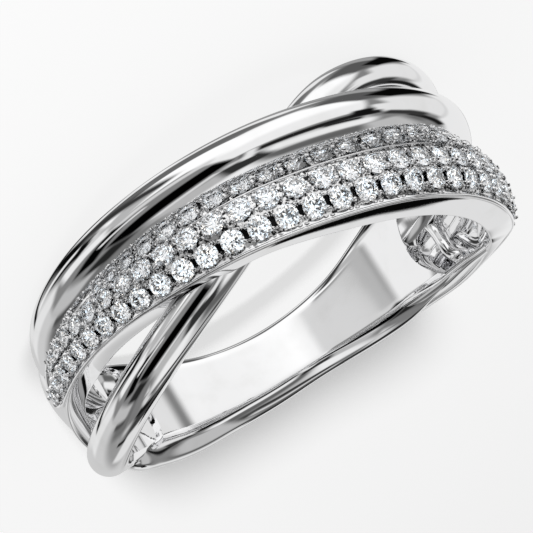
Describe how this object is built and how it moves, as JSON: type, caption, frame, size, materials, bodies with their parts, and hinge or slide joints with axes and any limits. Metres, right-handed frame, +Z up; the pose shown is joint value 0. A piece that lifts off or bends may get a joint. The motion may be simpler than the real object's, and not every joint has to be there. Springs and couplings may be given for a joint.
{
  "type": "crossover ring",
  "caption": "White metal crossover finger ring: a shank parting into a domed bar paved with small round stones and two polished wires that cross at the head.",
  "frame": {"origin": "middle of the ring's box on the flat surface that it lies on, finger hole upwards", "axes": "+Z up along the finger hole, within 7 degrees, -Y towards the middle of the head, +X towards the shoulder where the wires lie over the bar's narrow end"},
  "size_m": [0.021, 0.0218, 0.008],
  "materials": {
    "polished_metal": "mirror polished white gold",
    "stones": "colourless faceted brilliant cut"
  },
  "bodies": {
    "root": {"band": "polished_metal", "stones": "stones"}
  },
  "joints": []
}
